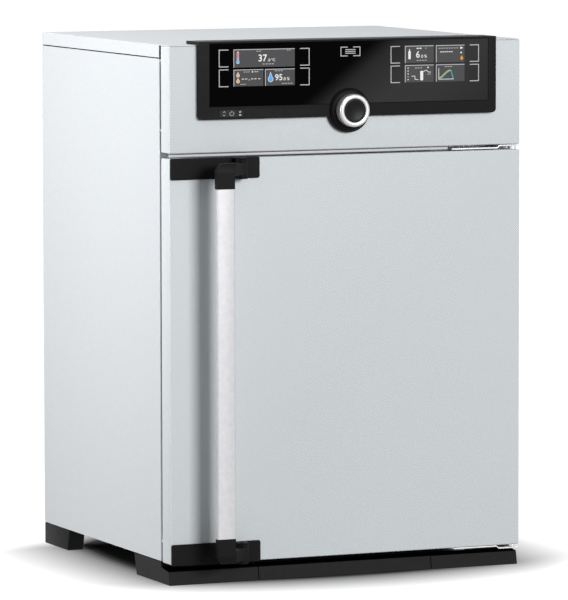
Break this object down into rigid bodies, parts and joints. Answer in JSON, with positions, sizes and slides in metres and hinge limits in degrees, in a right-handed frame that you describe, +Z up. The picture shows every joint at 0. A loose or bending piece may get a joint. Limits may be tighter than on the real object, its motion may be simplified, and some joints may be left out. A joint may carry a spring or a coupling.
{
  "type": "carbon dioxide incubator",
  "caption": "Bench-top carbon dioxide incubator: insulated steel case, heated chamber with shelves, inner glass door, outer door with bar handle, control panel with turn dial.",
  "frame": {"origin": "centre of the footprint on the bench, taken over the handle and the hose nipples", "axes": "+Z up, -Y to the front where the door is, +X to the right seen from the front"},
  "size_m": [0.568, 0.587, 0.801],
  "materials": {
    "stainless": "textured satin",
    "bright_metal": "bright",
    "zinc_plate": "zinc-plated, dull",
    "black_plastic": "fine grained moulding",
    "seal_rubber": "matt silicone",
    "insulation": "mineral wool",
    "clear_glass": "clear",
    "black_glass": "polished, printed black",
    "display": "lit display",
    "circuit_board": "solder resist"
  },
  "bodies": {
    "case": {"side_panel_left": "stainless", "side_panel_right": "stainless", "top_cover": "stainless", "control_fascia": "stainless", "front_frame": "stainless", "chamber_liner": "bright_metal", "fan_cover": "bright_metal", "shelf_lower": "bright_metal", "shelf_upper": "bright_metal", "gas_sensor": "bright_metal", "temperature_probe": "bright_metal", "steam_generator": "bright_metal", "hinge_strip_upper": "bright_metal", "hinge_strip_lower": "bright_metal", "hinge_pin_upper": "bright_metal", "hinge_pin_lower": "bright_metal", "glass_hinge_pin_upper": "bright_metal", "glass_hinge_pin_lower": "bright_metal", "floor_pan": "zinc_plate", "rear_panel": "zinc_plate", "fan_motor": "zinc_plate", "gas_valve": "zinc_plate", "power_supply": "zinc_plate", "dial_encoder": "zinc_plate", "foot_front_left": "black_plastic", "foot_front_right": "black_plastic", "foot_rear_left": "black_plastic", "foot_rear_right": "black_plastic", "plinth_bar": "black_plastic", "control_bezel": "black_plastic", "dial_seat": "black_plastic", "mains_inlet": "black_plastic", "glass_gasket": "seal_rubber", "chamber_heater": "seal_rubber", "insulation": "insulation", "control_glass": "black_glass", "display_left": "display", "display_right": "display", "control_board": "circuit_board"},
    "door": {"door_outer_panel": "stainless", "door_inner_panel": "bright_metal", "door_insulation": "insulation", "door_gasket": "seal_rubber", "handle_bracket_upper": "black_plastic", "handle_bracket_lower": "black_plastic"},
    "handle": {"handle_bar": "bright_metal", "handle_arm_upper": "black_plastic", "handle_arm_lower": "black_plastic"},
    "glass_door": {"glass_pane": "clear_glass", "glass_hinge_clip_upper": "bright_metal", "glass_hinge_clip_lower": "bright_metal"},
    "latch": {"glass_latch": "bright_metal"},
    "dial": {"dial_ring": "bright_metal"},
    "confirm": {"confirm_key": "black_plastic"},
    "power": {"power_key": "black_plastic"},
    "fan": {"fan_wheel": "bright_metal"}
  },
  "joints": [
    {"name": "door_hinge", "type": "hinge", "parent": "case", "child": "door", "pos_m": [0.276, -0.2275, 0.3304], "axis": [0, 0, 1], "range_deg": [0, 120]},
    {"name": "glass_door_hinge", "type": "hinge", "parent": "case", "child": "glass_door", "pos_m": [0.2195, -0.1933, 0.3304], "axis": [0, 0, 1], "range_deg": [0, 108]},
    {"name": "handle_pivot", "type": "hinge", "parent": "door", "child": "handle", "pos_m": [-0.176, -0.251, 0.33], "axis": [0, 0, 1], "range_deg": [0, 45]},
    {"name": "glass_latch_turn", "type": "hinge", "parent": "case", "child": "latch", "pos_m": [-0.234, -0.1981, 0.3304], "axis": [0, 1, 0], "range_deg": [-90, 0]},
    {"name": "dial_turn", "type": "hinge", "parent": "case", "child": "dial", "pos_m": [0, -0.2685, 0.696], "axis": [0, 1, 0], "continuous": true},
    {"name": "confirm_press", "type": "slide", "parent": "case", "child": "confirm", "axis": [0, 1, 0], "range_m": [0, 0.001], "stiffness_N_per_m": 900, "springref_m": -0.001},
    {"name": "power_press", "type": "slide", "parent": "case", "child": "power", "axis": [0, 1, 0], "range_m": [0, 0.001], "stiffness_N_per_m": 900, "springref_m": -0.001},
    {"name": "fan_spin", "type": "hinge", "parent": "case", "child": "fan", "pos_m": [0, 0.1428, 0.3304], "axis": [0, 1, 0], "continuous": true}
  ],
  "couplings": [
    {"joint": "glass_door_hinge", "follows": "door_hinge", "ratio": 0.9}
  ]
}
